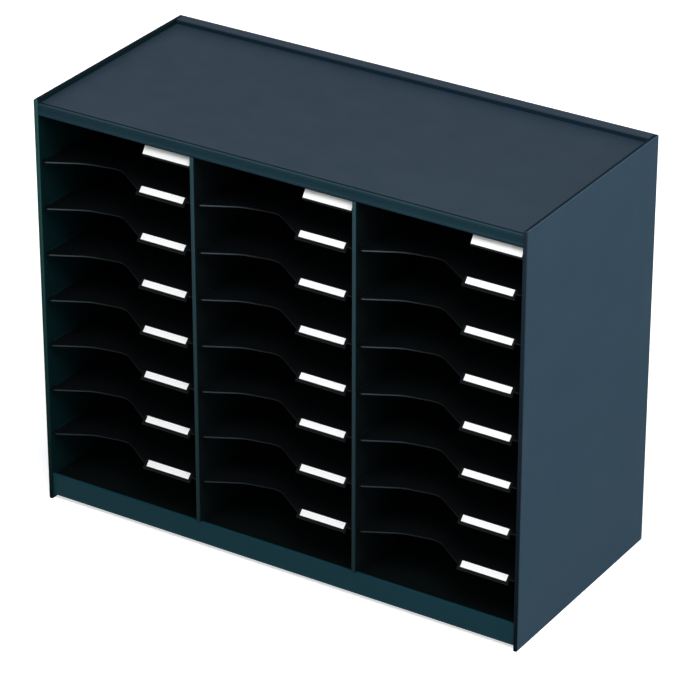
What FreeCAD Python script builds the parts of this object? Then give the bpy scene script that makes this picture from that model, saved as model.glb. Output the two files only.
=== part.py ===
import FreeCAD, Part
import math
import os

from FreeCAD import Vector

# Document sorting station: a moulded polystyrene cabinet with three columns of eight pigeonholes.
# All sizes are in millimetres. Places are measured from the cabinet's left face (x), from its
# front plane (y, towards the back) and from the surface it stands on (z). The last step moves
# every piece so that the origin lies at the centre of the cabinet's footprint.

# Overall size
overall_width = 674.0
overall_depth = 308.0
overall_height = 544.0
column_names = ("left", "middle", "right")
row_count = 8

# Panels
side_thickness = 5.0
divider_thickness = 4.5
skin_thickness = 3.0
back_thickness = 2.5
panel_edge_radius = 1.4
joint_clearance = 0.1

# Base: its floor, the plinth in front of it and the skirt behind it
foot_height = 5.0
plinth_height = 29.8
plinth_thickness = 3.0
plinth_setback = 3.0
plinth_lip = 3.0
flange_thickness = 2.5
base_flange_depth = 18.0

# Top: a tray whose ledge at the back stands as high as the side panels, behind the front rail
tray_depth = 6.0
fascia_height = 14.5
rail_setback = 2.0
rail_thickness = 6.0
rail_wall = 2.0
rail_channel_depth = 0.8
rail_channel_margin = 3.2
shadow_gap_width = 2.0
shadow_gap_depth = 3.0
ledge_depth = 16.0
rib_thickness = 2.0
ribs_per_column = 3

# Tongues that lock the panels together
tongue_reach = 2.4
tongue_length = 40.0
tongues_per_edge = 3
peg_thickness = 1.8

# Back panels and the grooves that hold them
back_setback = 4.0
back_groove_depth = 1.4
floor_groove_depth = 2.0
back_head = 4.0

# Shelves and the guides they slide in
shelf_thickness = 2.0
shelf_side_gap = 0.4
shelf_front_setback = 0.5
shelf_rear_gap = 0.5
shelf_edge_radius = 0.8
guide_reach = 3.5
guide_thickness = 1.6
guide_front = 12.0
guide_clearance = 0.15

# Finger scoop in each shelf's front edge
scoop_depth = 35.1
scoop_shoulder_depth = 26.5
scoop_shoulder_share = 0.524
scoop_flank_run = 44.5
label_edge_setback = 3.0
scoop_shoulder_radius = 60.0
scoop_turn_radius = 26.0
scoop_flare_radius = 12.5
shelf_corner_radius = 5.0

# Label cards and the pockets that hold them
card_length = 66.3
card_thickness = 0.4
shelf_card_height = 10.5
top_card_height = 12.4
card_gap = 0.1
pocket_back = 1.6
pocket_wall = 1.2
pocket_lip = 0.8
shelf_pocket_foot_cover = 2.2
shelf_pocket_end_cover = 2.0
top_channel_cover = 0.9
pocket_front_gap = 0.2
shelf_pocket_tilt = 45.0
top_channel_tilt = 55.0
shelf_pocket_side_gap = 9.4
shelf_pocket_drop = 6.85
top_channel_side_gap = 0.3
top_channel_drop = 13.7

# Places that follow from the sizes above
column_count = len(column_names)
inner_width = overall_width - 2 * side_thickness
column_width = (inner_width - (column_count - 1) * divider_thickness) / column_count
floor_level = foot_height + plinth_height - plinth_lip
tray_level = overall_height - tray_depth
ceiling_level = tray_level - fascia_height
row_pitch = (ceiling_level + shelf_thickness - floor_level) / row_count
rail_rear = rail_setback + rail_thickness
plinth_rear = plinth_setback + plinth_thickness
back_rear = overall_depth - back_setback
back_front = back_rear - back_thickness
ledge_front = overall_depth - ledge_depth
panel_left = side_thickness + joint_clearance
panel_right = overall_width - side_thickness - joint_clearance
shelf_rear = back_front - shelf_rear_gap
pocket_face = pocket_wall + card_gap
pocket_height = 2 * card_gap + card_thickness + pocket_lip
pocket_length = card_length + 2 * pocket_face


def column_left(column):
    """Left inner face of a pigeonhole column, counted from 0 on the left."""
    return side_thickness + column * (column_width + divider_thickness)


def shelf_level(row):
    """Upper face of the shelf below pigeonhole row, where row 1 is the topmost."""
    return floor_level + (row_count - row) * row_pitch


def box(x, y, z):
    """Box between the low and high value given for each direction."""
    return Part.makeBox(x[1] - x[0], y[1] - y[0], z[1] - z[0], Vector(x[0], y[0], z[0]))


def profile_bar(points, x):
    """Bar with the given (y, z) section, from x[0] to x[1]."""
    corners = [Vector(x[0], y, z) for y, z in points]
    face = Part.Face(Part.makePolygon(corners + corners[:1]))
    return face.extrude(Vector(x[1] - x[0], 0, 0))


def joined(first, others):
    """One solid made of a first piece and all the others."""
    return first.fuse(others).removeSplitter() if others else first


def round_edges(shape, radius, wanted):
    """Rounds every straight edge for which wanted(start, end) is true."""
    edges = []
    for edge in shape.Edges:
        if len(edge.Vertexes) == 2 and isinstance(edge.Curve, Part.Line):
            if wanted(edge.Vertexes[0].Point, edge.Vertexes[1].Point):
                edges.append(edge)
    return shape.makeFillet(radius, edges)


def near(value, target):
    return abs(value - target) < 0.001


def spread(low, high, count):
    """Centres of count equal stretches between low and high."""
    step = (high - low) / count
    return [low + (index + 0.5) * step for index in range(count)]


# Features that several panels share

def tongue_spans():
    """Stretches along the depth at which the top and base panels reach into the side panels."""
    centres = spread(rail_rear, ledge_front, tongues_per_edge)
    return [(centre - tongue_length / 2, centre + tongue_length / 2) for centre in centres]


def guide_bars(face, direction):
    """Ledges below and above each shelf's edge, on a wall face that looks in +x or -x."""
    reach = (face, face + guide_reach) if direction > 0 else (face - guide_reach, face)
    depth = (guide_front, back_front - joint_clearance)
    bars = []
    for row in range(1, row_count):
        top = shelf_level(row) + guide_clearance
        bottom = shelf_level(row) - shelf_thickness - guide_clearance
        bars.append(box(reach, depth, (top, top + guide_thickness)))
        bars.append(box(reach, depth, (bottom - guide_thickness, bottom)))
    return bars


def back_groove(face, direction):
    """Upright groove for the edge of a back panel, cut into a wall face that looks in +x or -x."""
    cut = back_groove_depth
    span = (face - cut, face) if direction > 0 else (face, face + cut)
    depth = (back_front - joint_clearance, back_rear + joint_clearance)
    return box(span, depth, (floor_level - plinth_lip, ledge_underside()))


def ledge_underside():
    return overall_height - skin_thickness


def end_pegs(depth, height):
    """Pegs at both ends of a cross member, which reach into the side panels."""
    left = box((panel_left - joint_clearance - tongue_reach, panel_left), depth, height)
    right = box((panel_right, panel_right + joint_clearance + tongue_reach), depth, height)
    return [left, right]


def rail_peg_section():
    front = rail_setback + rail_channel_depth
    low = ceiling_level + rail_channel_margin
    return (front, front + peg_thickness), (low, tray_level - rail_channel_margin)


def plinth_peg_section():
    middle = plinth_setback + plinth_thickness / 2
    low = foot_height + plinth_height / 4
    return (middle - peg_thickness / 2, middle + peg_thickness / 2), (low, low + plinth_height / 2)


# Cabinet

def side_panel():
    """Left side panel, with its guides and with blind slots for the tongues of its neighbours."""
    def is_outer_edge(start, end):
        upright = near(start.x, end.x) and near(start.y, end.y)
        on_top = near(start.z, overall_height) and near(end.z, overall_height)
        return upright or on_top

    panel = box((0, side_thickness), (0, overall_depth), (0, overall_height))
    panel = round_edges(panel, panel_edge_radius, is_outer_edge)
    gap = joint_clearance
    slot = (side_thickness - tongue_reach - gap, side_thickness)
    cuts = [back_groove(side_thickness, 1)]
    for start, end in tongue_spans():
        for level in (tray_level, floor_level):
            cuts.append(box(slot, (start - gap, end + gap), (level - skin_thickness - gap, level + gap)))
    for depth, height in (rail_peg_section(), plinth_peg_section()):
        cuts.append(box(slot, (depth[0] - gap, depth[1] + gap), (height[0] - gap, height[1] + gap)))
    return joined(panel.cut(cuts), guide_bars(side_thickness, 1))


def mirrored(shape):
    """The same piece on the other side of the cabinet."""
    return shape.mirror(Vector(overall_width / 2, 0, 0), Vector(1, 0, 0))


def divider(column):
    """Upright wall to the right of a column, with guides and back grooves on both faces."""
    def is_front_or_rear_edge(start, end):
        return near(start.x, end.x) and near(start.y, end.y)

    left = column_left(column) + column_width
    right = left + divider_thickness
    gap = joint_clearance
    wall = box((left, right), (0, overall_depth), (floor_level, tray_level - skin_thickness))
    wall = round_edges(wall, panel_edge_radius, is_front_or_rear_edge)
    front_clear = rail_rear + flange_thickness + gap
    rear_clear = back_front - rib_thickness - 2 * gap
    above = (ceiling_level - gap, overall_height)
    cuts = [
        box((left, right), (0, front_clear), above),
        box((left, right), (rear_clear, overall_depth), above),
        box((left, right), (0, plinth_rear + gap), (floor_level, floor_level + plinth_lip + gap)),
        back_groove(right, 1),
        back_groove(left, -1),
    ]
    additions = guide_bars(right, 1) + guide_bars(left, -1)
    for span in tongue_spans():
        additions.append(box(divider_tongue_width(left), span, (floor_level - skin_thickness, floor_level)))
    return joined(wall.cut(cuts), additions)


def divider_tongue_width(left):
    return (left + divider_thickness / 4, left + 3 * divider_thickness / 4)


def under_ribs(depth, height):
    """Stiffening ribs that run from front to back under a panel, the same in each column."""
    ribs = []
    for column in range(column_count):
        left = column_left(column)
        step = column_width / (ribs_per_column + 1)
        for index in range(ribs_per_column):
            centre = left + (index + 1) * step
            ribs.append(box((centre - rib_thickness / 2, centre + rib_thickness / 2), depth, height))
    return ribs


def panel_tongues(level):
    tongues = []
    for span in tongue_spans():
        tongues += end_pegs(span, (level - skin_thickness, level))
    return tongues


def top_panel():
    """Tray-shaped top: front flange, skin, raised hollow ledge and a groove for the back panels."""
    underside = tray_level - skin_thickness
    roof = ledge_underside()
    groove_front = back_front - joint_clearance
    groove_rear = back_rear + joint_clearance
    rib_foot = tray_level - skin_thickness - flange_thickness
    section = [
        (rail_rear, ceiling_level),
        (rail_rear + flange_thickness, ceiling_level),
        (rail_rear + flange_thickness, underside),
        (ledge_front + flange_thickness, underside),
        (ledge_front + flange_thickness, roof),
        (groove_front - rib_thickness, roof),
        (groove_front - rib_thickness, rib_foot),
        (groove_front, rib_foot),
        (groove_front, roof),
        (groove_rear, roof),
        (groove_rear, ceiling_level),
        (overall_depth, ceiling_level),
        (overall_depth, overall_height),
        (ledge_front, overall_height),
        (ledge_front, tray_level),
        (rail_rear, tray_level),
    ]

    def is_visible_edge(start, end):
        along = not near(start.x, end.x) and near(start.y, end.y) and near(start.z, end.z)
        ledge = near(start.z, overall_height)
        tray_front = near(start.z, tray_level) and near(start.y, rail_rear)
        return along and (ledge or tray_front)

    panel = profile_bar(section, (panel_left, panel_right))
    panel = round_edges(panel, panel_edge_radius, is_visible_edge)
    depth = (rail_rear + flange_thickness, ledge_front + flange_thickness)
    height = (ceiling_level, underside)
    additions = under_ribs(depth, height) + panel_tongues(tray_level)
    additions.append(box((panel_left, panel_left + rib_thickness), depth, height))
    additions.append(box((panel_right - rib_thickness, panel_right), depth, height))
    for column in range(column_count - 1):
        left = column_left(column) + column_width - joint_clearance
        right = left + divider_thickness + 2 * joint_clearance
        additions.append(box((left - rib_thickness, left), depth, height))
        additions.append(box((right, right + rib_thickness), depth, height))
    return joined(panel, additions)


def front_top_rail():
    """Fascia strip along the top, an open channel from behind, with a label channel per column."""
    front = rail_setback
    channel = front + rail_channel_depth
    web = channel + rail_wall
    low = ceiling_level
    gap_floor = tray_level - shadow_gap_depth
    section = [
        (front, low),
        (rail_rear, low),
        (rail_rear, low + rail_wall),
        (web, low + rail_wall),
        (web, gap_floor - rail_wall),
        (rail_rear, gap_floor - rail_wall),
        (rail_rear, gap_floor),
        (rail_rear - shadow_gap_width, gap_floor),
        (rail_rear - shadow_gap_width, tray_level),
        (front, tray_level),
        (front, tray_level - rail_channel_margin),
        (channel, tray_level - rail_channel_margin - rail_channel_depth),
        (channel, low + rail_channel_margin + rail_channel_depth),
        (front, low + rail_channel_margin),
    ]

    def is_front_edge(start, end):
        along = not near(start.x, end.x) and near(start.y, front) and near(end.y, front)
        return along and (near(start.z, low) or near(start.z, tray_level))

    rail = profile_bar(section, (panel_left, panel_right))
    rail = round_edges(rail, panel_edge_radius, is_front_edge)
    depth, height = rail_peg_section()
    additions = end_pegs(depth, height)
    for column in range(column_count):
        additions += [top_channel(column), top_channel_web(column)]
    return joined(rail, additions)


def plinth():
    """Board that closes the front below the lowest pigeonholes."""
    def is_front_edge(start, end):
        return near(start.y, plinth_setback) and near(end.y, plinth_setback) and near(start.z, end.z)

    depth = (plinth_setback, plinth_rear)
    board = box((panel_left, panel_right), depth, (foot_height, foot_height + plinth_height))
    board = round_edges(board, panel_edge_radius, is_front_edge)
    peg_depth, peg_height = plinth_peg_section()
    return joined(board, end_pegs(peg_depth, peg_height))


def base_panel():
    """Floor of the lowest pigeonholes, with a front flange, a rear skirt and ribs below."""
    underside = floor_level - skin_thickness
    front = plinth_rear + joint_clearance
    groove_front = back_front - joint_clearance
    groove_rear = back_rear + joint_clearance
    groove_floor = floor_level - floor_groove_depth
    skirt_front = overall_depth - flange_thickness
    section = [
        (front, floor_level - base_flange_depth),
        (front + flange_thickness, floor_level - base_flange_depth),
        (front + flange_thickness, underside),
        (skirt_front, underside),
        (skirt_front, foot_height),
        (overall_depth, foot_height),
        (overall_depth, floor_level),
        (groove_rear, floor_level),
        (groove_rear, groove_floor),
        (groove_front, groove_floor),
        (groove_front, floor_level),
        (front, floor_level),
    ]
    panel = profile_bar(section, (panel_left, panel_right))
    rib_depth = (front + flange_thickness, skirt_front)
    rib_height = (floor_level - base_flange_depth, underside)
    panel = joined(panel, under_ribs(rib_depth, rib_height) + panel_tongues(floor_level))
    gap = joint_clearance
    slots = []
    for column in range(column_count - 1):
        width = divider_tongue_width(column_left(column) + column_width)
        for start, end in tongue_spans():
            slots.append(box((width[0] - gap, width[1] + gap), (start - gap, end + gap),
                             (underside - gap, floor_level + gap)))
    return panel.cut(slots)


def back_panel(column):
    """Sheet that closes a column at the back, held in grooves on all four sides."""
    reach = back_groove_depth - joint_clearance
    left = column_left(column) - reach
    right = column_left(column) + column_width + reach
    low = floor_level - floor_groove_depth + joint_clearance
    return box((left, right), (back_front, back_rear), (low, tray_level - skin_thickness + back_head))


# Label pockets and cards

def tilted(shape, tilt, column_x, foot):
    """Turns a piece lying on its back up by tilt and sets its origin at foot, a (y, z) place."""
    shape = shape.copy()
    shape.rotate(Vector(0, 0, 0), Vector(1, 0, 0), tilt)
    shape.translate(Vector(column_x, foot[0], foot[1]))
    return shape


def pocket_foot(tilt, level):
    """Place of a card's lower edge such that its pocket stays just behind the front plane."""
    angle = math.radians(tilt)
    reach = pocket_face * math.cos(angle) + pocket_height * math.sin(angle)
    return pocket_front_gap + reach, level


def shelf_pocket_left():
    return column_width - shelf_pocket_side_gap - pocket_length


def shelf_pocket_place(column, row):
    x = column_left(column) + shelf_pocket_left() + pocket_face
    return x, pocket_foot(shelf_pocket_tilt, shelf_level(row) - shelf_pocket_drop)


def top_channel_place(column):
    x = column_left(column) + column_width - top_channel_side_gap - pocket_face - card_length
    return x, pocket_foot(top_channel_tilt, ceiling_level - top_channel_drop)


def shelf_pocket(column, row):
    """Pocket open at its upper edge: a back, a foot, two ends and the lips in front of the card."""
    ends = (-pocket_face, card_length + pocket_face)
    foot = -pocket_face
    top = shelf_card_height
    lip = (pocket_height - pocket_lip, pocket_height)
    cover = shelf_pocket_end_cover
    back = box(ends, (foot, top), (-pocket_back, 0))
    walls = [
        box(ends, (foot, -card_gap), (0, pocket_height)),
        box(ends, (foot, shelf_pocket_foot_cover), lip),
        box((ends[0], -card_gap), (foot, top), (0, pocket_height)),
        box((card_length + card_gap, ends[1]), (foot, top), (0, pocket_height)),
        box((ends[0], cover), (foot, top), lip),
        box((card_length - cover, ends[1]), (foot, top), lip),
    ]
    x, place = shelf_pocket_place(column, row)
    return tilted(joined(back, walls), shelf_pocket_tilt, x, place)


def shelf_card_space(column, row):
    """Everything in front of the pocket's back, which the shelf plate has to leave free."""
    room = overall_depth
    ends = (-pocket_face, card_length + pocket_face)
    x, place = shelf_pocket_place(column, row)
    return tilted(box(ends, (-room, room), (0, room)), shelf_pocket_tilt, x, place)


def top_channel(column):
    """Channel open at its left end, with lips along the card's upper and lower edges."""
    ends = (0, card_length + pocket_face)
    foot = -pocket_face
    top = top_card_height + pocket_face
    lip = (pocket_height - pocket_lip, pocket_height)
    back = box(ends, (foot, top), (-pocket_back, 0))
    walls = [
        box(ends, (foot, -card_gap), (0, pocket_height)),
        box(ends, (top_card_height + card_gap, top), (0, pocket_height)),
        box(ends, (foot, top_channel_cover), lip),
        box(ends, (top_card_height - top_channel_cover, top), lip),
        box((card_length + card_gap, ends[1]), (foot, top), (0, pocket_height)),
    ]
    x, place = top_channel_place(column)
    return tilted(joined(back, walls), top_channel_tilt, x, place)


def top_channel_web(column):
    """Web between the rail's underside and the upper wall of a label channel."""
    x, (foot_y, foot_z) = top_channel_place(column)
    angle = math.radians(top_channel_tilt)
    along = top_card_height + card_gap + pocket_wall / 2
    wall_y = foot_y + along * math.cos(angle)
    wall_z = foot_z + along * math.sin(angle)
    across_y = pocket_wall * math.sin(angle)
    across_z = pocket_wall * math.cos(angle)
    section = [
        (rail_rear - rail_thickness / 2, ceiling_level + rail_wall / 2),
        (wall_y - across_y, wall_z + across_z),
        (wall_y + across_y, wall_z - across_z),
        (rail_rear, ceiling_level),
        (rail_rear, ceiling_level + rail_wall / 2),
    ]
    return profile_bar(section, (x, x + card_length + pocket_face))


def shelf_card(column, row):
    x, place = shelf_pocket_place(column, row)
    card = box((0, card_length), (0, shelf_card_height), (card_gap, card_gap + card_thickness))
    return tilted(card, shelf_pocket_tilt, x, place)


def top_card(column):
    x, place = top_channel_place(column)
    card = box((0, card_length), (0, top_card_height), (card_gap, card_gap + card_thickness))
    return tilted(card, top_channel_tilt, x, place)


# Shelves

def shelf_outline_corners():
    """Corners (x, y, radius) of a shelf seen from above, from the column's left inner face."""
    left = shelf_side_gap
    right = column_width - shelf_side_gap
    pocket = shelf_pocket_left()
    bottom = pocket - scoop_flank_run
    return [
        (left, shelf_rear, shelf_thickness),
        (left, shelf_front_setback, shelf_corner_radius),
        (scoop_shoulder_share * bottom, scoop_shoulder_depth, scoop_shoulder_radius),
        (bottom, scoop_depth, scoop_turn_radius),
        (pocket + pocket_wall, label_edge_setback, scoop_flare_radius),
        (right, label_edge_setback, shelf_corner_radius / 2),
        (right, shelf_rear, shelf_thickness),
    ]


def rounded_outline(corners, level):
    """Closed wire through the corners at height level, each corner rounded by a tangent arc."""
    points = [Vector(x, y, level) for x, y, radius in corners]
    count = len(points)
    stretches = []
    for index, point in enumerate(points):
        before = (points[index - 1] - point).normalize()
        after = (points[(index + 1) % count] - point).normalize()
        half = before.getAngle(after) / 2
        radius = corners[index][2]
        shorter = min((points[index - 1] - point).Length, (points[(index + 1) % count] - point).Length)
        setback = min(radius / math.tan(half), 0.49 * shorter)
        radius = setback * math.tan(half)
        start = point + before * setback
        end = point + after * setback
        toward_centre = (before + after).normalize()
        middle = point + toward_centre * (radius / math.sin(half) - radius)
        stretches.append((start, middle, end))
    edges = []
    for index, (start, middle, end) in enumerate(stretches):
        edges.append(Part.Arc(start, middle, end).toShape())
        next_start = stretches[(index + 1) % count][0]
        edges.append(Part.LineSegment(end, next_start).toShape())
    return Part.Wire(edges)


def shelf(column, row):
    """Thin plate with a finger scoop, a rounded front edge and a label pocket on its right."""
    def is_front_edge(edge):
        level = edge.BoundBox
        return near(level.ZMin, level.ZMax) and level.YMax < scoop_depth

    bottom = shelf_level(row) - shelf_thickness
    plate = Part.Face(rounded_outline(shelf_outline_corners(), bottom))
    plate = plate.extrude(Vector(0, 0, shelf_thickness))
    plate = plate.makeFillet(shelf_edge_radius, [edge for edge in plate.Edges if is_front_edge(edge)])
    plate.translate(Vector(column_left(column), 0, 0))
    plate = plate.cut(shelf_card_space(column, row))
    return joined(plate, [shelf_pocket(column, row)])


def save(name, shape):
    """Moves a piece into the cabinet's own frame and writes it."""
    shape = shape.copy()
    shape.translate(Vector(-overall_width / 2, -overall_depth / 2, 0))
    shape.exportStep("parts/" + name + ".step")


def main():
    os.makedirs("parts", exist_ok=True)
    left_side = side_panel()
    save("left_side_panel", left_side)
    save("right_side_panel", mirrored(left_side))
    save("left_divider", divider(0))
    save("right_divider", divider(1))
    save("top_panel", top_panel())
    save("front_top_rail", front_top_rail())
    save("base_panel", base_panel())
    save("plinth", plinth())
    for column, name in enumerate(column_names):
        save(name + "_back_panel", back_panel(column))
        save(name + "_label_1", top_card(column))
        for row in range(1, row_count):
            save(name + "_shelf_" + str(row), shelf(column, row))
            save(name + "_label_" + str(row + 1), shelf_card(column, row))


main()
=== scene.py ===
import logging
import math
from dataclasses import dataclass, replace
from enum import Enum
from typing import Any, ClassVar

import bpy
from mathutils import Matrix, Vector

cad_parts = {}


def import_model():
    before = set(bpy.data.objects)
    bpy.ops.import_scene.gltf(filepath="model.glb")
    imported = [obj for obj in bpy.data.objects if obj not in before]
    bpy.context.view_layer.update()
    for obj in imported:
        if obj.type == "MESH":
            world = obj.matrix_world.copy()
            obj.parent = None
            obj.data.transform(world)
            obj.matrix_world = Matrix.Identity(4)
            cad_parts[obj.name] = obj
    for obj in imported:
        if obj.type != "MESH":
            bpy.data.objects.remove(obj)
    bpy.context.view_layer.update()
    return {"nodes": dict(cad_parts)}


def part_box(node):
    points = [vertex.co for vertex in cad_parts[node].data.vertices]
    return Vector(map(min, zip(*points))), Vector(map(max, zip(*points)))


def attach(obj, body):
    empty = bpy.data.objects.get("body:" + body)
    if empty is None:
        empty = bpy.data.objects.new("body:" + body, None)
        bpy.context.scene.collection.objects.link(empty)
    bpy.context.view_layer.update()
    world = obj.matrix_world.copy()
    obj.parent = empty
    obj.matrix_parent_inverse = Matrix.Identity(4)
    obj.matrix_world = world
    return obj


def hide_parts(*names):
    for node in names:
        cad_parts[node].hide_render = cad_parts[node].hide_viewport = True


# Looks of a document sorting station: a cabinet of moulded polystyrene with three columns of
# eight pigeonholes. Sizes are in millimetres, measured as the solids are: from the cabinet's
# left face (x), from its front plane (y, towards the back) and from the surface it stands on (z).

log = logging.getLogger("sorting_station")

MILLIMETRE = 0.001


class Wear(Enum):
    """How a plastic surface has been used."""

    OUTSIDE = "handled now and then"
    SLID_ON = "what is filed slides over it from front to back"
    HIDDEN = "hardly touched"


class Column(Enum):
    """The three columns of pigeonholes, counted from the left."""

    LEFT = 0
    MIDDLE = 1
    RIGHT = 2

    @property
    def word(self) -> str:
        """The column's name as the nodes spell it."""
        return self.name.lower()


@dataclass(frozen=True)
class CabinetSizes:
    """The cabinet's driving sizes, in millimetres, the same as the solids have."""

    width: float = 674.0
    depth: float = 308.0
    height: float = 544.0
    rows: int = 8
    side: float = 5.0
    divider: float = 4.5
    floor_level: float = 31.8
    ceiling_level: float = 523.5
    shelf_thickness: float = 2.0

    @property
    def column_width(self) -> float:
        """Clear width of one column."""
        count = len(Column)
        return (self.width - 2 * self.side - (count - 1) * self.divider) / count

    def column_left(self, column: Column) -> float:
        """Left inner face of a column.

        Args:
            column: The column.

        Returns:
            Its distance from the cabinet's left face.
        """
        return self.side + column.value * (self.column_width + self.divider)

    def shelf_level(self, row: int) -> float:
        """Upper face of the shelf below a pigeonhole.

        Args:
            row: The pigeonhole's row, where 1 is the topmost.

        Returns:
            Its height above the surface the cabinet stands on.
        """
        pitch = (self.ceiling_level + self.shelf_thickness - self.floor_level) / self.rows
        return self.floor_level + (self.rows - row) * pitch

    def place(self, x: float, y: float, z: float) -> Vector:
        """Turns a measured place into the frame.

        Args:
            x: Distance from the left face.
            y: Distance from the front plane.
            z: Height.

        Returns:
            The place in metres, with the origin at the centre of the footprint.
        """
        return Vector((x - self.width / 2, y - self.depth / 2, z)) * MILLIMETRE


CABINET = CabinetSizes()


def linear_colour(hex_value: str) -> tuple[float, float, float, float]:
    """Turns an sRGB hex value into the linear colour that shaders take.

    Args:
        hex_value: Six hex digits, such as "37485A".

    Returns:
        Linear red, green, blue and an alpha of 1.
    """
    def channel(start: int) -> float:
        """Linear value of the two hex digits from start."""
        value = int(hex_value[start:start + 2], 16) / 255
        return value / 12.92 if value <= 0.04045 else ((value + 0.055) / 1.055) ** 2.4

    return channel(0), channel(2), channel(4), 1.0


def add_node(tree: bpy.types.NodeTree, kind: str, settings: dict[str, Any] | None = None,
             values: dict[Any, Any] | None = None, links: dict[Any, Any] | None = None) -> bpy.types.Node:
    """Adds one node to a shader or geometry tree.

    Args:
        tree: The tree that gets the node.
        kind: The node's type name.
        settings: Properties of the node itself.
        values: Default values of its inputs, by socket name or number.
        links: Output sockets that feed its inputs, by socket name or number.

    Returns:
        The new node.
    """
    node = tree.nodes.new(kind)
    for name, value in (settings or {}).items():
        setattr(node, name, value)
    for socket, value in (values or {}).items():
        node.inputs[socket].default_value = value
    for socket, source in (links or {}).items():
        tree.links.new(source, node.inputs[socket])
    return node


def per_metre(size_mm: float) -> float:
    """Texture scale at which one feature of a pattern is size_mm wide."""
    return 1.0 / (size_mm * MILLIMETRE)


@dataclass(frozen=True)
class Zone:
    """A box in measured millimetres, with a colour; its defaults reach past the whole cabinet."""

    colour: str = ""
    low: tuple[float, float, float] = (-10.0, -10.0, -10.0)
    high: tuple[float, float, float] = (700.0, 330.0, 560.0)

    def mask(self, tree: bpy.types.NodeTree, where: bpy.types.NodeSocket) -> bpy.types.NodeSocket:
        """Makes a mask from a place.

        Args:
            tree: The material's tree.
            where: Object coordinates.

        Returns:
            1 inside the box and 0 outside it.
        """
        low = CABINET.place(*self.low)
        high = CABINET.place(*self.high)
        offset = add_node(tree, "ShaderNodeVectorMath", {"operation": "SUBTRACT"},
                          values={1: (low + high) / 2}, links={0: where})
        distance = add_node(tree, "ShaderNodeVectorMath", {"operation": "ABSOLUTE"},
                            links={0: offset.outputs["Vector"]})
        beyond = add_node(tree, "ShaderNodeVectorMath", {"operation": "SUBTRACT"},
                          values={1: (high - low) / 2}, links={0: distance.outputs["Vector"]})
        parts = add_node(tree, "ShaderNodeSeparateXYZ", links={"Vector": beyond.outputs["Vector"]})
        across = add_node(tree, "ShaderNodeMath", {"operation": "MAXIMUM"},
                          links={0: parts.outputs["X"], 1: parts.outputs["Y"]})
        furthest = add_node(tree, "ShaderNodeMath", {"operation": "MAXIMUM"},
                            links={0: across.outputs["Value"], 1: parts.outputs["Z"]})
        inside = add_node(tree, "ShaderNodeMath", {"operation": "LESS_THAN"}, values={1: 0.0},
                          links={0: furthest.outputs["Value"]})
        return inside.outputs["Value"]


def recoloured(tree: bpy.types.NodeTree, share: bpy.types.NodeSocket, colour: bpy.types.NodeSocket | str,
               other: bpy.types.NodeSocket | str) -> bpy.types.NodeSocket:
    """Mixes a second colour into a first, each given as a socket or a hex value.

    Args:
        tree: The material's tree.
        share: Share of the second colour, from 0 to 1.
        colour: The first colour.
        other: The second colour.

    Returns:
        The mixed colour.
    """
    mix = add_node(tree, "ShaderNodeMix", {"data_type": "RGBA"}, links={"Factor": share})
    for socket, given in ((mix.inputs[6], colour), (mix.inputs[7], other)):
        if isinstance(given, str):
            socket.default_value = linear_colour(given)
        else:
            tree.links.new(given, socket)
    return mix.outputs[2]


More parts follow.
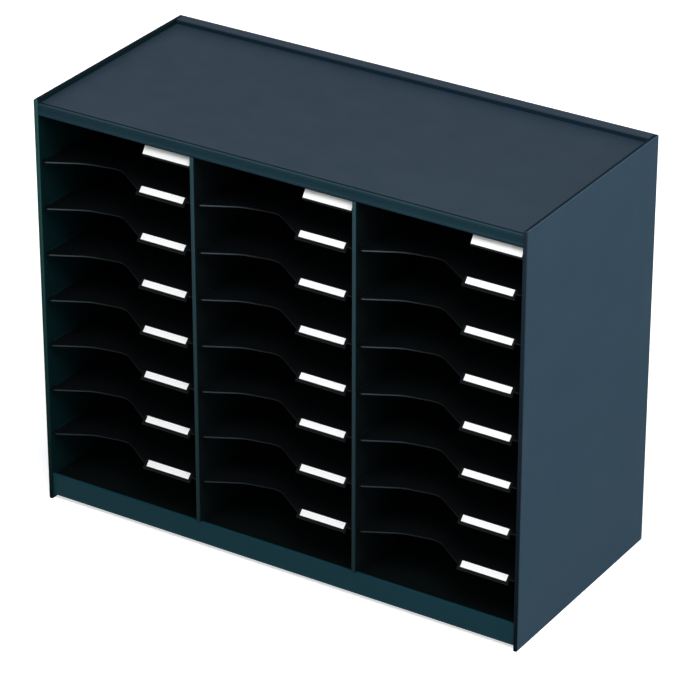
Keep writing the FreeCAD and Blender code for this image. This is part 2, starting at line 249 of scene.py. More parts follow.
@dataclass(frozen=True)
class MouldedPolystyrene:
    """High-impact polystyrene, injection moulded in an etched tool.

    It gives the eye a blue-grey satin surface with a fine, even grain, a broad faint mottle from
    the way the melt flowed, and lighter, smoother edges, partly wear where hands rub and partly a
    painted highlight where edges catch the light. Painted shade can darken boxes, front edges and far ends.
    """

    name: str
    colour: str
    mottle_colour: str
    edge_colour: str
    roughness: float = 0.6
    wear: Wear = Wear.OUTSIDE
    # The etched grain is about 0.3 mm wide; it is drawn at 0.9 mm, so that it shows in the render.
    grain_mm: float = 0.9
    grain_depth_mm: float = 0.03
    mottle_mm: float = 70.0
    smudge_mm: float = 38.0
    smudge_strength: float = 0.03
    scuff_width_mm: float = 0.7
    scuff_length_mm: float = 45.0
    scuff_gloss: float = 0.12
    edge_radius_mm: float = 0.7
    edge_strength: float = 0.8
    refraction: float = 1.59
    specular: float = 0.06
    # Painted shade: boxes in which faces, such as those inside, get a darker colour where shade falls.
    painted_shade_zones: tuple[Zone, ...] = ()
    # Painted shade on front edges, darker from the cabinet's head to its foot as the light falls off, within
    # this zone.
    head_light_colour: str = ""
    foot_shade_colour: str = ""
    falloff_zone: Zone = Zone(high=(700.0, 1.9, 560.0))
    # Painted shade at the far end of a piece that carries the attribute ShelfEdge.ALONG, if it has one,
    # and the shares of its length between which the colour changes.
    far_end_shade_colour: str = ""
    fade_start: float = 0.08
    fade_end: float = 0.55

    def build(self) -> bpy.types.Material:
        """Makes the material.

        Returns:
            The material, ready for any piece whose place is in its mesh.
        """
        material = bpy.data.materials.new(self.name)
        material.use_nodes = True
        tree = material.node_tree
        tree.nodes.clear()
        where = add_node(tree, "ShaderNodeTexCoord").outputs["Object"]
        colour = self._mottled_colour(tree, where)
        # Painted shade on the front edges, darker towards the foot.
        if self.head_light_colour:
            colour = self._painted_falloff(tree, where, colour)
        colour = self._worn_and_highlit_edges(tree, colour)
        # Painted shade: each zone's box gets its darker colour.
        for zone in self.painted_shade_zones:
            colour = recoloured(tree, zone.mask(tree, where), colour, zone.colour)
        # Painted shade towards a bead's far end.
        if self.far_end_shade_colour:
            colour = self._painted_far_end_shade(tree, colour)
        roughness, scuffs = self._roughness(tree, where)
        shader = add_node(tree, "ShaderNodeBsdfPrincipled",
                          values={"IOR": self.refraction, "Specular IOR Level": self.specular},
                          links={"Base Color": colour, "Roughness": roughness,
                                 "Normal": self._grain(tree, where, scuffs)})
        add_node(tree, "ShaderNodeOutputMaterial", links={"Surface": shader.outputs["BSDF"]})
        return material

    def _mottled_colour(self, tree: bpy.types.NodeTree, where: bpy.types.NodeSocket) -> bpy.types.NodeSocket:
        """Base colour with the melt's broad faint mottle."""
        noise = add_node(tree, "ShaderNodeTexNoise",
                         values={"Scale": per_metre(self.mottle_mm), "Detail": 3.0, "Roughness": 0.55,
                                 "Distortion": 0.6},
                         links={"Vector": where})
        share = add_node(tree, "ShaderNodeMapRange",
                         values={"From Min": 0.32, "From Max": 0.68, "To Min": 0.0, "To Max": 1.0},
                         links={"Value": noise.outputs["Fac"]})
        return recoloured(tree, share.outputs["Result"], self.colour, self.mottle_colour)

    def _painted_falloff(self, tree: bpy.types.NodeTree, where: bpy.types.NodeSocket,
                       colour: bpy.types.NodeSocket) -> bpy.types.NodeSocket:
        """Paints shade on a front edge, darker towards the foot."""
        parts = add_node(tree, "ShaderNodeSeparateXYZ", links={"Vector": where})
        height = add_node(tree, "ShaderNodeMapRange",
                          values={"From Min": CABINET.height * MILLIMETRE, "From Max": 0.0},
                          links={"Value": parts.outputs["Z"]})
        edge = recoloured(tree, height.outputs["Result"], self.head_light_colour, self.foot_shade_colour)
        return recoloured(tree, self.falloff_zone.mask(tree, where), colour, edge)

    def _painted_far_end_shade(self, tree: bpy.types.NodeTree, colour: bpy.types.NodeSocket) -> bpy.types.NodeSocket:
        """Fades an edge's colour along its length into painted shade, towards the end that turns away from
        the light.
        """
        along = add_node(tree, "ShaderNodeAttribute", {"attribute_name": ShelfEdge.ALONG})
        share = add_node(tree, "ShaderNodeMapRange", {"interpolation_type": "SMOOTHSTEP"},
                         values={"From Min": self.fade_start, "From Max": self.fade_end},
                         links={"Value": along.outputs["Fac"]})
        return recoloured(tree, share.outputs["Result"], colour, self.far_end_shade_colour)

    def _worn_and_highlit_edges(self, tree: bpy.types.NodeTree, colour: bpy.types.NodeSocket) -> bpy.types.NodeSocket:
        """Lightens the colour along edges: partly wear, where the grain is rubbed smooth, and partly a
        painted highlight where edges catch the light.
        """
        rounded = add_node(tree, "ShaderNodeBevel", {"samples": 4},
                           values={"Radius": self.edge_radius_mm * MILLIMETRE})
        facing = add_node(tree, "ShaderNodeNewGeometry")
        match = add_node(tree, "ShaderNodeVectorMath", {"operation": "DOT_PRODUCT"},
                         links={0: rounded.outputs["Normal"], 1: facing.outputs["Normal"]})
        edge = add_node(tree, "ShaderNodeMapRange",
                        values={"From Min": 0.995, "From Max": 0.8, "To Min": 0.0,
                                "To Max": self.edge_strength},
                        links={"Value": match.outputs["Value"]})
        return recoloured(tree, edge.outputs["Result"], colour, self.edge_colour)

    def _roughness(self, tree: bpy.types.NodeTree,
                   where: bpy.types.NodeSocket) -> tuple[bpy.types.NodeSocket, bpy.types.NodeSocket]:
        """Roughness with broad smudges and the fine scuffs that use leaves.

        Args:
            tree: The material's tree.
            where: Object coordinates.

        Returns:
            The roughness, and the scuffs alone from 0 to 1.
        """
        smudge = add_node(tree, "ShaderNodeTexNoise",
                          values={"Scale": per_metre(self.smudge_mm), "Detail": 4.0, "Distortion": 0.3},
                          links={"Vector": where})
        base = add_node(tree, "ShaderNodeMapRange",
                        values={"From Min": 0.3, "From Max": 0.7,
                                "To Min": self.roughness - self.smudge_strength,
                                "To Max": self.roughness + self.smudge_strength},
                        links={"Value": smudge.outputs["Fac"]})
        # What is filed slides from front to back and scuffs along y; hands leave scuffs at a slant.
        slant = 0.0 if self.wear is Wear.SLID_ON else math.radians(35)
        across = per_metre(self.scuff_width_mm)
        along = per_metre(self.scuff_length_mm)
        stretched = add_node(tree, "ShaderNodeMapping",
                             values={"Rotation": (0.0, 0.0, slant), "Scale": (across, along, across)},
                             links={"Vector": where})
        streaks = add_node(tree, "ShaderNodeTexNoise", values={"Scale": 1.0, "Detail": 1.0},
                           links={"Vector": stretched.outputs["Vector"]})
        amount = {Wear.OUTSIDE: 0.5, Wear.SLID_ON: 1.0, Wear.HIDDEN: 0.15}[self.wear]
        scuffs = add_node(tree, "ShaderNodeMapRange",
                          values={"From Min": 0.66, "From Max": 0.76, "To Min": 0.0, "To Max": amount},
                          links={"Value": streaks.outputs["Fac"]})
        total = add_node(tree, "ShaderNodeMath", {"operation": "MULTIPLY_ADD"}, values={1: -self.scuff_gloss},
                         links={0: scuffs.outputs["Result"], 2: base.outputs["Result"]})
        return total.outputs["Value"], scuffs.outputs["Result"]

    def _grain(self, tree: bpy.types.NodeTree, where: bpy.types.NodeSocket,
               scuffs: bpy.types.NodeSocket) -> bpy.types.NodeSocket:
        """Normal with the etched grain, and the scuffs as faint grooves in it."""
        grain = add_node(tree, "ShaderNodeTexNoise",
                         values={"Scale": per_metre(self.grain_mm), "Detail": 2.0, "Roughness": 0.6},
                         links={"Vector": where})
        height = add_node(tree, "ShaderNodeMath", {"operation": "MULTIPLY_ADD"}, values={1: -0.4},
                          links={0: scuffs, 2: grain.outputs["Fac"]})
        bump = add_node(tree, "ShaderNodeBump",
                        values={"Strength": 0.35, "Distance": self.grain_depth_mm * MILLIMETRE},
                        links={"Height": height.outputs["Value"]})
        return bump.outputs["Normal"]


@dataclass(frozen=True)
class CardStock:
    """Uncoated white card, rolled flat and guillotined.

    It gives the eye a bright, wholly matt white with a felted fibre pattern.
    """

    name: str = "uncoated_white_card"
    colour: str = "FEFEFD"
    fibre_colour: str = "F8F8F6"
    roughness: float = 0.85
    # The fibres are about 0.03 mm wide; they are drawn at 0.5 mm, so that they show.
    fibre_mm: float = 0.5
    fibre_depth_mm: float = 0.01
    cloud_mm: float = 9.0

    def build(self) -> bpy.types.Material:
        """Makes the material.

        Returns:
            The material.
        """
        material = bpy.data.materials.new(self.name)
        material.use_nodes = True
        tree = material.node_tree
        tree.nodes.clear()
        where = add_node(tree, "ShaderNodeTexCoord").outputs["Object"]
        cloud = add_node(tree, "ShaderNodeTexNoise",
                         values={"Scale": per_metre(self.cloud_mm), "Detail": 5.0, "Roughness": 0.7},
                         links={"Vector": where})
        colour = recoloured(tree, cloud.outputs["Fac"], self.colour, self.fibre_colour)
        fibres = add_node(tree, "ShaderNodeTexNoise",
                          values={"Scale": per_metre(self.fibre_mm), "Detail": 3.0, "Distortion": 1.2},
                          links={"Vector": where})
        bump = add_node(tree, "ShaderNodeBump",
                        values={"Strength": 0.3, "Distance": self.fibre_depth_mm * MILLIMETRE},
                        links={"Height": fibres.outputs["Fac"]})
        shader = add_node(tree, "ShaderNodeBsdfPrincipled",
                          values={"Roughness": self.roughness, "IOR": 1.5, "Specular IOR Level": 0.2},
                          links={"Base Color": colour, "Normal": bump.outputs["Normal"]})
        add_node(tree, "ShaderNodeOutputMaterial", links={"Surface": shader.outputs["BSDF"]})
        return material


def seen_directly(tree: bpy.types.NodeTree) -> bpy.types.NodeSocket:
    """Tells the rays that show the background from the ones that carry its light.

    Args:
        tree: The floor's or the room's tree.

    Returns:
        A socket that is 1 for what the eye, a gloss or a clear part shows, and 0 for thrown light.
    """
    path = add_node(tree, "ShaderNodeLightPath")
    seen = add_node(tree, "ShaderNodeMath", {"operation": "ADD", "use_clamp": True},
                    links={0: path.outputs["Is Camera Ray"], 1: path.outputs["Is Glossy Ray"]})
    seen = add_node(tree, "ShaderNodeMath", {"operation": "ADD", "use_clamp": True},
                    links={0: seen.outputs["Value"], 1: path.outputs["Is Transmission Ray"]})
    return seen.outputs["Value"]


@dataclass(frozen=True)
class StudioSweep:
    """Painted studio floor: white to the camera, and darker for the light that it throws back."""

    name: str = "painted_studio_floor"
    seen_colour: str = "F4F4F4"
    bounce_colour: str = "8C8C8C"
    glow: float = 0.6

    def build(self) -> bpy.types.Material:
        """Makes the material.

        Returns:
            The floor's material.
        """
        material = bpy.data.materials.new(self.name)
        material.use_nodes = True
        tree = material.node_tree
        tree.nodes.clear()
        bounce = add_node(tree, "ShaderNodeBsdfDiffuse", values={"Color": linear_colour(self.bounce_colour)})
        paint = add_node(tree, "ShaderNodeBsdfDiffuse", values={"Color": linear_colour(self.seen_colour)})
        glow = add_node(tree, "ShaderNodeEmission", values={"Strength": self.glow})
        lit = add_node(tree, "ShaderNodeAddShader",
                       links={0: paint.outputs["BSDF"], 1: glow.outputs["Emission"]})
        mix = add_node(tree, "ShaderNodeMixShader",
                       links={0: seen_directly(tree), 1: bounce.outputs["BSDF"], 2: lit.outputs["Shader"]})
        add_node(tree, "ShaderNodeOutputMaterial", links={"Surface": mix.outputs["Shader"]})
        return material


def dress(obj: bpy.types.Object, material: bpy.types.Material) -> None:
    """Gives every part of an object one material.

    Args:
        obj: The object.
        material: Its material.
    """
    obj.data.materials.clear()
    obj.data.materials.append(material)


def bake_tree(base: bpy.types.Object, tree: bpy.types.NodeTree, values: dict[str, Any],
              name: str) -> bpy.types.Object:
    """Runs a geometry tree on an object and keeps the result as a plain mesh.

    Args:
        base: The object that holds the tree's starting geometry; it is removed.
        tree: The geometry tree.
        values: Values of the tree's named inputs.
        name: Name of the new object.

    Returns:
        A new object with the finished mesh and no modifier.
    """
    modifier = base.modifiers.new("build", "NODES")
    modifier.node_group = tree
    sockets = {item.name: item.identifier for item in tree.interface.items_tree
               if item.item_type == "SOCKET" and item.in_out == "INPUT"}
    for label, value in values.items():
        modifier[sockets[label]] = value
    bpy.context.view_layer.update()
    evaluated = base.evaluated_get(bpy.context.evaluated_depsgraph_get())
    mesh = bpy.data.meshes.new_from_object(evaluated)
    mesh.name = name
    result = bpy.data.objects.new(name, mesh)
    bpy.context.scene.collection.objects.link(result)
    bpy.data.objects.remove(base)
    return result


def new_tree(name: str, inputs: dict[str, tuple[str, float]]) -> tuple[bpy.types.NodeTree, bpy.types.Node]:
    """Starts a geometry tree with named inputs.

    Args:
        name: The tree's name.
        inputs: Socket type and default value of each input.

    Returns:
        The tree and its group input node.
    """
    tree = bpy.data.node_groups.new(name, "GeometryNodeTree")
    tree.interface.new_socket("Geometry", in_out="OUTPUT", socket_type="NodeSocketGeometry")
    tree.interface.new_socket("Geometry", in_out="INPUT", socket_type="NodeSocketGeometry")
    for label, (kind, value) in inputs.items():
        socket = tree.interface.new_socket(label, in_out="INPUT", socket_type=kind)
        if kind != "NodeSocketMaterial":
            socket.default_value = value
    return tree, add_node(tree, "NodeGroupInput")


def end_tree(tree: bpy.types.NodeTree, geometry: bpy.types.NodeSocket,
             material: bpy.types.NodeSocket) -> None:
    """Ends a geometry tree in Realize Instances and Set Material.

    Args:
        tree: The tree.
        geometry: The geometry that it has made.
        material: The socket that gives the material.
    """
    real = add_node(tree, "GeometryNodeRealizeInstances", links={"Geometry": geometry})
    dressed = add_node(tree, "GeometryNodeSetMaterial",
                       links={"Geometry": real.outputs["Geometry"], "Material": material})
    add_node(tree, "NodeGroupOutput", links={"Geometry": dressed.outputs["Geometry"]})


@dataclass
class ShelfEdge:
    """The bead along a shelf's wavy front edge, from the left guide to the label pocket."""

    ALONG: ClassVar[str] = "along_edge"

    column: Column
    row: int
    radius: float = 1.0
    inset: float = 0.82
    start_run: float = 7.0
    side_gap: float = 0.4
    front_setback: float = 0.5
    shoulder_share: float = 0.524
    shoulder_depth: float = 26.5
    shoulder_radius: float = 60.0
    scoop_depth: float = 35.1
    turn_radius: float = 26.0
    flank_run: float = 44.5
    pocket_left: float = 140.03
    pocket_wall: float = 1.2
    label_setback: float = 3.0

    @property
    def body(self) -> str:
        """The shelf whose front edge it is."""
        return f"{self.column.word}_shelf_{self.row}"

    def corners(self) -> list[tuple[float, float, float]]:
        """Corners of the plate's front edge.

        Returns:
            x from the column's left face, y from the front plane and the rounding radius of each.
        """
        bottom = self.pocket_left - self.flank_run
        shoulder = self.shoulder_share * bottom
        slope = (self.shoulder_depth - self.front_setback) / (shoulder - self.side_gap)
        return [
            (self.start_run, self.front_setback + slope * (self.start_run - self.side_gap), 0.0),
            (shoulder, self.shoulder_depth, self.shoulder_radius),
            (bottom, self.scoop_depth, self.turn_radius),
            (self.pocket_left + self.pocket_wall / 2, self.label_setback, 0.0),
        ]

    def middle_line(self) -> list[tuple[float, float, float]]:
        """Corners of the bead's middle, which runs inside the plate, parallel to its edge.

        Returns:
            x, y and radius of each corner, measured as in corners().
        """
        corners = self.corners()
        places = [Vector((x, y)) for x, y, _ in corners]
        runs = [(after - before).normalized() for before, after in zip(places, places[1:])]
        moved = []
        for index, (place, corner) in enumerate(zip(places, corners)):
            arriving = runs[max(index - 1, 0)]
            leaving = runs[min(index, len(runs) - 1)]
            inward = Vector((-arriving.y - leaving.y, arriving.x + leaving.x)).normalized()
            reach = self.inset / inward.dot(Vector((-leaving.y, leaving.x)))
            place = place + inward * reach
            radius = corner[2] + self.inset if corner[2] else 0.0
            moved.append((place.x, place.y, radius))
        return moved

    @staticmethod
    def tree() -> bpy.types.NodeTree:
        """Geometry tree that rounds a line's corners and sweeps a round bead along it.

        Returns:
            The tree, shared by all shelves.
        """
        tree, given = new_tree("swept_edge_bead", {
            "Bead radius": ("NodeSocketFloat", 0.001),
            "Bead sides": ("NodeSocketInt", 12),
            "Arc points": ("NodeSocketInt", 10),
            "Material": ("NodeSocketMaterial", 0.0),
        })
        line = add_node(tree, "GeometryNodeMeshToCurve", links={"Mesh": given.outputs["Geometry"]})
        radius = add_node(tree, "GeometryNodeInputNamedAttribute", {"data_type": "FLOAT"},
                          values={"Name": "corner_radius"})
        rounded = add_node(tree, "GeometryNodeFilletCurve", {"mode": "POLY"}, values={"Limit Radius": True},
                           links={"Curve": line.outputs["Curve"], "Radius": radius.outputs["Attribute"],
                                  "Count": given.outputs["Arc points"]})
        way = add_node(tree, "GeometryNodeSplineParameter")
        marked = add_node(tree, "GeometryNodeStoreNamedAttribute", {"data_type": "FLOAT", "domain": "POINT"},
                          values={"Name": ShelfEdge.ALONG},
                          links={"Geometry": rounded.outputs["Curve"], "Value": way.outputs["Factor"]})
        section = add_node(tree, "GeometryNodeCurvePrimitiveCircle", {"mode": "RADIUS"},
                           links={"Resolution": given.outputs["Bead sides"],
                                  "Radius": given.outputs["Bead radius"]})
        sweep = add_node(tree, "GeometryNodeCurveToMesh", values={"Fill Caps": True},
                         links={"Curve": marked.outputs["Geometry"],
                                "Profile Curve": section.outputs["Curve"]})
        smooth = add_node(tree, "GeometryNodeSetShadeSmooth", links={"Geometry": sweep.outputs["Mesh"]})
        end_tree(tree, smooth.outputs["Geometry"], given.outputs["Material"])
        return tree

    def build(self, tree: bpy.types.NodeTree, material: bpy.types.Material) -> bpy.types.Object:
        """Sweeps the bead and lets it ride on its shelf.

        Args:
            tree: The tree from ShelfEdge.tree().
            material: The bead's material.

        Returns:
            The bead.
        """
        left = CABINET.column_left(self.column)
        level = CABINET.shelf_level(self.row) - CABINET.shelf_thickness / 2
        corners = self.middle_line()
        points = [CABINET.place(left + x, y, level) for x, y, _ in corners]
        mesh = bpy.data.meshes.new("edge_line")
        mesh.from_pydata(points, [(index, index + 1) for index in range(len(points) - 1)], [])
        radii = mesh.attributes.new("corner_radius", "FLOAT", "POINT")
        radii.data.foreach_set("value", [radius * MILLIMETRE for _, _, radius in corners])
        base = bpy.data.objects.new("edge_line", mesh)
        bpy.context.scene.collection.objects.link(base)
        bead = bake_tree(base, tree, {"Bead radius": self.radius * MILLIMETRE, "Material": material},
                         self.body + "_edge_bead")
        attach(bead, self.body)
        log.info("%s: swept edge bead, %d faces", bead.name, len(bead.data.polygons))
        return bead


@dataclass
class LabelCard:
    """A card in its pocket, cut with rounded corners and a little bowed, as such cards are."""

    TOP_TILT: ClassVar[float] = 55.0
    TOP_HEIGHT: ClassVar[float] = 12.4
    SHELF_TILT: ClassVar[float] = 45.0
    SHELF_HEIGHT: ClassVar[float] = 10.5
    OUTLINE_STEP: ClassVar[float] = 1.2

    column: Column
    number: int
    thickness: float = 0.18
    bow: float = 0.11
    corner: float = 0.8

    @property
    def node(self) -> str:
        """The node and body that the card stands for."""
        return f"{self.column.word}_label_{self.number}"

    @property
    def is_top(self) -> bool:
        """Whether it is the larger card, which hangs below the fascia."""
        return self.number == 1

    @staticmethod
    def tree() -> bpy.types.NodeTree:
        """Geometry tree that cuts, bows and thickens a card.

        Returns:
            The tree, shared by all cards.
        """
        tree, given = new_tree("cut_card", {
            "Length": ("NodeSocketFloat", 0.0663),
            "Height": ("NodeSocketFloat", 0.0105),
            "Thickness": ("NodeSocketFloat", 0.0002),
            "Bow": ("NodeSocketFloat", 0.0002),
            "Corner": ("NodeSocketFloat", 0.0008),
            "Tilt": ("NodeSocketFloat", 0.0),
            "Centre": ("NodeSocketVector", (0.0, 0.0, 0.0)),
            "Material": ("NodeSocketMaterial", 0.0),
        })
        outline = add_node(tree, "GeometryNodeCurvePrimitiveQuadrilateral", {"mode": "RECTANGLE"},
                           links={"Width": given.outputs["Length"], "Height": given.outputs["Height"]})
        rounded = add_node(tree, "GeometryNodeFilletCurve", {"mode": "POLY"},
                           values={"Count": 4, "Limit Radius": True},
                           links={"Curve": outline.outputs["Curve"], "Radius": given.outputs["Corner"]})
        even = add_node(tree, "GeometryNodeResampleCurve", {"mode": "LENGTH"},
                        values={"Length": LabelCard.OUTLINE_STEP * MILLIMETRE},
                        links={"Curve": rounded.outputs["Curve"]})
        sheet = add_node(tree, "GeometryNodeFillCurve", {"mode": "TRIANGLES"},
                         links={"Curve": even.outputs["Curve"]})
        thick = add_node(tree, "GeometryNodeExtrudeMesh", {"mode": "FACES"}, values={"Individual": False},
                         links={"Mesh": sheet.outputs["Mesh"], "Offset Scale": given.outputs["Thickness"]})
        back = add_node(tree, "GeometryNodeFlipFaces", links={"Mesh": sheet.outputs["Mesh"]})
        whole = add_node(tree, "GeometryNodeJoinGeometry")
        tree.links.new(thick.outputs["Mesh"], whole.inputs["Geometry"])
        tree.links.new(back.outputs["Mesh"], whole.inputs["Geometry"])
        merged = add_node(tree, "GeometryNodeMergeByDistance", values={"Distance": 0.00001},
                          links={"Geometry": whole.outputs["Geometry"]})
        position = add_node(tree, "GeometryNodeInputPosition")
        parts = add_node(tree, "ShaderNodeSeparateXYZ", links={"Vector": position.outputs["Position"]})
        share = add_node(tree, "ShaderNodeMath", {"operation": "DIVIDE"},
                         links={0: parts.outputs["X"], 1: given.outputs["Length"]})
        square = add_node(tree, "ShaderNodeMath", {"operation": "MULTIPLY"},
                          links={0: share.outputs["Value"], 1: share.outputs["Value"]})
        # The bow is a parabola that is 1 in the card's middle and 0 at its two ends.
        crown = add_node(tree, "ShaderNodeMath", {"operation": "MULTIPLY_ADD"}, values={1: -4.0, 2: 1.0},
                         links={0: square.outputs["Value"]})
        lift = add_node(tree, "ShaderNodeMath", {"operation": "MULTIPLY"},
                        links={0: crown.outputs["Value"], 1: given.outputs["Bow"]})
        offset = add_node(tree, "ShaderNodeCombineXYZ", links={"Z": lift.outputs["Value"]})
        bowed = add_node(tree, "GeometryNodeSetPosition",
                         links={"Geometry": merged.outputs["Geometry"], "Offset": offset.outputs["Vector"]})
        turn = add_node(tree, "ShaderNodeCombineXYZ", links={"X": given.outputs["Tilt"]})
        placed = add_node(tree, "GeometryNodeTransform",
                          links={"Geometry": bowed.outputs["Geometry"],
                                 "Translation": given.outputs["Centre"],
                                 "Rotation": turn.outputs["Vector"]})
        end_tree(tree, placed.outputs["Geometry"], given.outputs["Material"])
        return tree

    def build(self, tree: bpy.types.NodeTree, material: bpy.types.Material) -> bpy.types.Object:
        """Cuts the card and puts it where its node is.

        Args:
            tree: The tree from LabelCard.tree().
            material: The card's material.

        Returns:
            The card.
        """
        low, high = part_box(self.node)
        tilt = math.radians(self.TOP_TILT if self.is_top else self.SHELF_TILT)
        height = self.TOP_HEIGHT if self.is_top else self.SHELF_HEIGHT
        outward = Vector((0.0, -math.sin(tilt), math.cos(tilt)))
        centre = (low + high) / 2 - outward * self.thickness * MILLIMETRE / 2
        values = {"Length": high.x - low.x, "Height": height * MILLIMETRE,
                  "Thickness": self.thickness * MILLIMETRE, "Bow": self.bow * MILLIMETRE,
                  "Corner": self.corner * MILLIMETRE, "Tilt": tilt, "Centre": centre,
                  "Material": material}
        mesh = bpy.data.meshes.new("card_start")
        base = bpy.data.objects.new("card_start", mesh)
        bpy.context.scene.collection.objects.link(base)
        card = bake_tree(base, tree, values, self.node + "_card")
        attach(card, self.node)
        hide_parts(self.node)
        log.info("%s: cut and bowed card, %d faces", card.name, len(card.data.polygons))
        return card


@dataclass
class SortingCabinet:
    """The eleven fixed pieces and the shelf plates, which keep their solids' shape.

    The top, the side walls, the rail and the plinth are one blue-grey plastic, in lit and shaded
    copies whose colours stand for how light falls on each face. The zones take in a piece's inner
    faces and leave out its outer ones, or end where a front edge, a rim or the ledge begins; the
    colour in them is painted shade.
    """

    # Rail: a shaded copy of the blue-grey plastic, with painted shade on its faces below the fascia.
    outer: MouldedPolystyrene = MouldedPolystyrene(
        name="satin_polystyrene_shaded_rail_copy", colour="15303A", mottle_colour="17323C", edge_colour="264149",
        painted_shade_zones=(Zone("040A0C", high=(700.0, 330.0, 523.2)),))
    # Side walls: a lit copy, with painted shade on the inner faces and the top edges, and on the front edges,
    # darker towards the foot.
    sides: MouldedPolystyrene = MouldedPolystyrene(
        name="blue_grey_polystyrene_side_wall", colour="304655", mottle_colour="324857", edge_colour="3B5160",
        painted_shade_zones=(Zone("061B1D", low=(4.7, 2.0, -10.0), high=(669.3, 306.0, 560.0)),
              Zone("05101A", low=(1.0, 2.0, 542.9), high=(673.0, 306.0, 560.0))),
        head_light_colour="2C534F", foot_shade_colour="010B0C", specular=0.02)
    # Top: a lit copy, with painted shade in the gap behind the rail and on the ledge's front face.
    top: MouldedPolystyrene = MouldedPolystyrene(
        name="grained_polystyrene_top_lit_copy", colour="22313D", mottle_colour="24333F", edge_colour="303F4B",
        roughness=0.62,
        painted_shade_zones=(Zone("04090B", high=(700.0, 40.0, 537.8)),
              Zone("122430", low=(-10.0, 290.0, 538.2), high=(700.0, 293.0, 543.0))))
    # Plinth: a shaded copy of the blue-grey plastic.
    fronts: MouldedPolystyrene = MouldedPolystyrene(
        name="teal_polystyrene_shaded_front_copy", colour="0B323B", mottle_colour="0D343D", edge_colour="173F49",
        roughness=0.55)
    # Dividers: painted shade on the faces inside, and on the front edges, darker towards the foot.
    dividers: MouldedPolystyrene = MouldedPolystyrene(
        name="teal_polystyrene_divider", colour="26424A", mottle_colour="28444C", edge_colour="2C4A52",
        painted_shade_zones=(Zone("040A0C", low=(-10.0, 2.0, -10.0), high=(700.0, 303.0, 560.0)),),
        head_light_colour="2C474E", foot_shade_colour="0A1E21")
    # Back sheets and base: painted shade on every face but the outer back.
    inner: MouldedPolystyrene = MouldedPolystyrene(
        name="dark_polystyrene_back_sheet", colour="1B2B34", mottle_colour="1D2D36", edge_colour="2A3A43",
        roughness=0.7, specular=0.04, painted_shade_zones=(Zone("030708", high=(700.0, 303.5, 560.0)),), wear=Wear.HIDDEN)
    shelf: MouldedPolystyrene = MouldedPolystyrene(
        name="black_teal_polystyrene_shelf", colour="030608", mottle_colour="05080A", edge_colour="090D10",
        roughness=0.6, specular=0.05, wear=Wear.SLID_ON)

    @property
    def right_side(self) -> MouldedPolystyrene:
        """The right wall's finish: a copy whose painted shade on the front edge is a dark navy where the left
        one's is teal.
        """
        return replace(self.sides, name="blue_grey_polystyrene_right_wall", head_light_colour="212C36",
                       foot_shade_colour="020D14")

    def finishes(self) -> dict[str, MouldedPolystyrene]:
        """Finish of each fixed node."""
        table = {"top_panel": self.top, "front_top_rail": self.outer, "base_panel": self.inner,
                 "plinth": self.fronts, "left_side_panel": self.sides, "right_side_panel": self.right_side,
                 "left_divider": self.dividers, "right_divider": self.dividers}
        for column in Column:
            table[column.word + "_back_panel"] = self.inner
        return table

    def build(self, nodes: dict[str, bpy.types.Object]) -> None:
        """Dresses the cabinet's nodes and the shelf plates.

        Args:
            nodes: The frame's nodes by name.
        """
        made: dict[str, bpy.types.Material] = {}
        finishes = self.finishes()
        for column in Column:
            for row in range(1, CABINET.rows):
                finishes[f"{column.word}_shelf_{row}"] = self.shelf
        for node, finish in finishes.items():
            if finish.name not in made:
                made[finish.name] = finish.build()
            dress(nodes[node], made[finish.name])
            log.info("%s: %s", node, finish.name)


@dataclass(frozen=True)
class SoftBox:
    """A square soft lamp that points at the cabinet's middle; its place and side are in metres."""

    name: str
    place: tuple[float, float, float]
    side: float
    watts: float
    tint: str = "FFFFFF"

    def hang(self) -> None:
        """Adds the lamp to the scene."""
        data = bpy.data.lights.new(self.name, "AREA")
        data.shape = "SQUARE"
        data.size = self.side
        data.energy = self.watts
        data.color = linear_colour(self.tint)[:3]
        lamp = bpy.data.objects.new(self.name, data)
        lamp.location = self.place
        aim = Vector((0.0, 0.0, 0.3)) - Vector(self.place)
        lamp.rotation_euler = aim.to_track_quat("-Z", "Y").to_euler()
        bpy.context.scene.collection.objects.link(lamp)


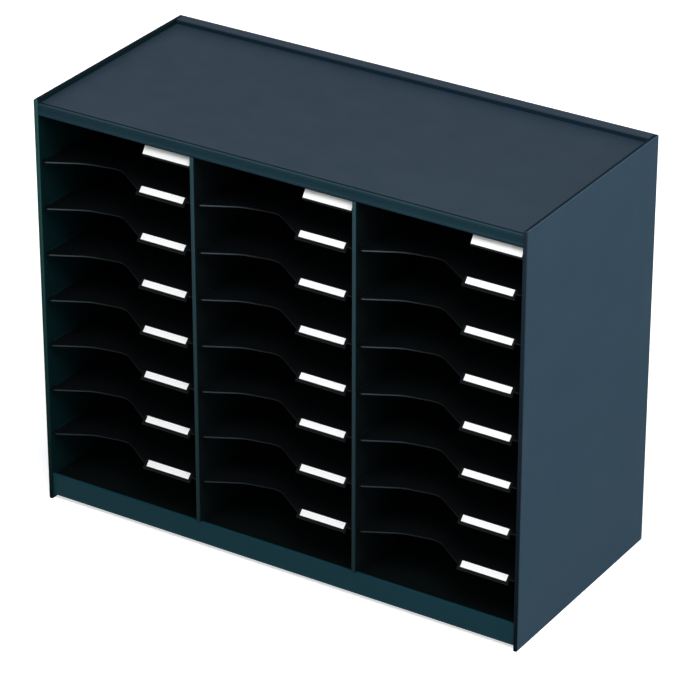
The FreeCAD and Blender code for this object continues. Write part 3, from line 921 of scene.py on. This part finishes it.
@dataclass
class Studio:
    """Floor, soft lamps and the camera at the photograph's viewing angle."""

    lamps: tuple[SoftBox, ...] = (
        SoftBox("high_front_right_softbox", (1.0, -1.1, 2.6), 1.4, 64.0),
        SoftBox("front_fill_softbox", (0.6, -3.2, 0.9), 1.6, 18.0),
        SoftBox("low_right_softbox", (3.5, -0.9, 1.2), 1.6, 34.0, "F4F9FF"),
        SoftBox("high_left_softbox", (-1.8, -0.8, 2.4), 1.4, 6.0),
        SoftBox("low_back_softbox", (1.4, 3.2, 0.9), 1.4, 60.0),
        SoftBox("low_left_softbox", (-3.2, 0.8, 1.1), 1.6, 38.0, "F4F9FF"),
    )
    room_tint: str = "DDE6EE"
    room_strength: float = 0.12

    lens_mm: float = 201.1
    sensor_mm: float = 36.0
    camera_place: tuple[float, float, float] = (2.175, -3.439, 2.375)
    yaw_degrees: float = 32.36
    pitch_degrees: float = 27.59
    floor_size: float = 30.0

    def floor(self) -> None:
        """Adds the pale floor."""
        half = self.floor_size / 2
        mesh = bpy.data.meshes.new("studio_floor")
        mesh.from_pydata([(-half, -half, 0), (half, -half, 0), (half, half, 0), (-half, half, 0)], [],
                         [(0, 1, 2, 3)])
        floor = bpy.data.objects.new("studio_floor", mesh)
        bpy.context.scene.collection.objects.link(floor)
        dress(floor, StudioSweep().build())

    def camera(self) -> None:
        """Adds the camera."""
        data = bpy.data.cameras.new("photo_camera")
        data.lens = self.lens_mm
        data.sensor_width = self.sensor_mm
        data.clip_end = 100.0
        camera = bpy.data.objects.new("photo_camera", data)
        pitch = Matrix.Rotation(math.radians(90 - self.pitch_degrees), 4, "X")
        yaw = Matrix.Rotation(math.radians(self.yaw_degrees), 4, "Z")
        camera.matrix_world = Matrix.Translation(self.camera_place) @ yaw @ pitch
        bpy.context.scene.collection.objects.link(camera)
        bpy.context.scene.camera = camera

    def world(self) -> None:
        """Sets the even light of the room."""
        world = bpy.data.worlds.new("studio_room")
        bpy.context.scene.world = world
        world.use_nodes = True
        tree = world.node_tree
        tree.nodes.clear()
        room = add_node(tree, "ShaderNodeBackground",
                        values={"Color": linear_colour(self.room_tint), "Strength": self.room_strength})
        white = add_node(tree, "ShaderNodeBackground",
                         values={"Color": linear_colour("FFFFFF"), "Strength": 1.0})
        mix = add_node(tree, "ShaderNodeMixShader",
                       links={0: seen_directly(tree), 1: room.outputs["Background"],
                              2: white.outputs["Background"]})
        add_node(tree, "ShaderNodeOutputWorld", links={"Surface": mix.outputs["Shader"]})

    def build(self) -> None:
        """Sets up the whole studio."""
        self.floor()
        self.world()
        self.camera()
        for lamp in self.lamps:
            lamp.hang()
        bpy.context.scene.view_settings.view_transform = "Standard"
        log.info("studio: floor, room, camera and %d soft lamps", len(self.lamps))


def main() -> None:
    """Builds the sorting station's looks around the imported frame."""
    logging.basicConfig(level=logging.INFO, format="%(message)s")
    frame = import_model()
    cabinet = SortingCabinet()
    cabinet.build(frame["nodes"])
    # The bead's colour is a painted highlight line along the shelf's front edge, with painted shade darker
    # towards the cabinet's foot and towards the bead's far end.
    bead_finish = MouldedPolystyrene(name="polystyrene_edge_painted_highlight", colour="2A3439", mottle_colour="273136",
                                     edge_colour="2E393E", head_light_colour="404A50", foot_shade_colour="0A1115",
                                     falloff_zone=Zone(), far_end_shade_colour="030608", roughness=0.5,
                                     wear=Wear.SLID_ON)
    bead_material = bead_finish.build()
    bead_tree = ShelfEdge.tree()
    card_material = CardStock().build()
    card_tree = LabelCard.tree()
    for column in Column:
        for row in range(1, CABINET.rows):
            ShelfEdge(column, row).build(bead_tree, bead_material)
        for number in range(1, CABINET.rows + 1):
            LabelCard(column, number).build(card_tree, card_material)
    Studio().build()


if __name__ == "__main__":
    main()
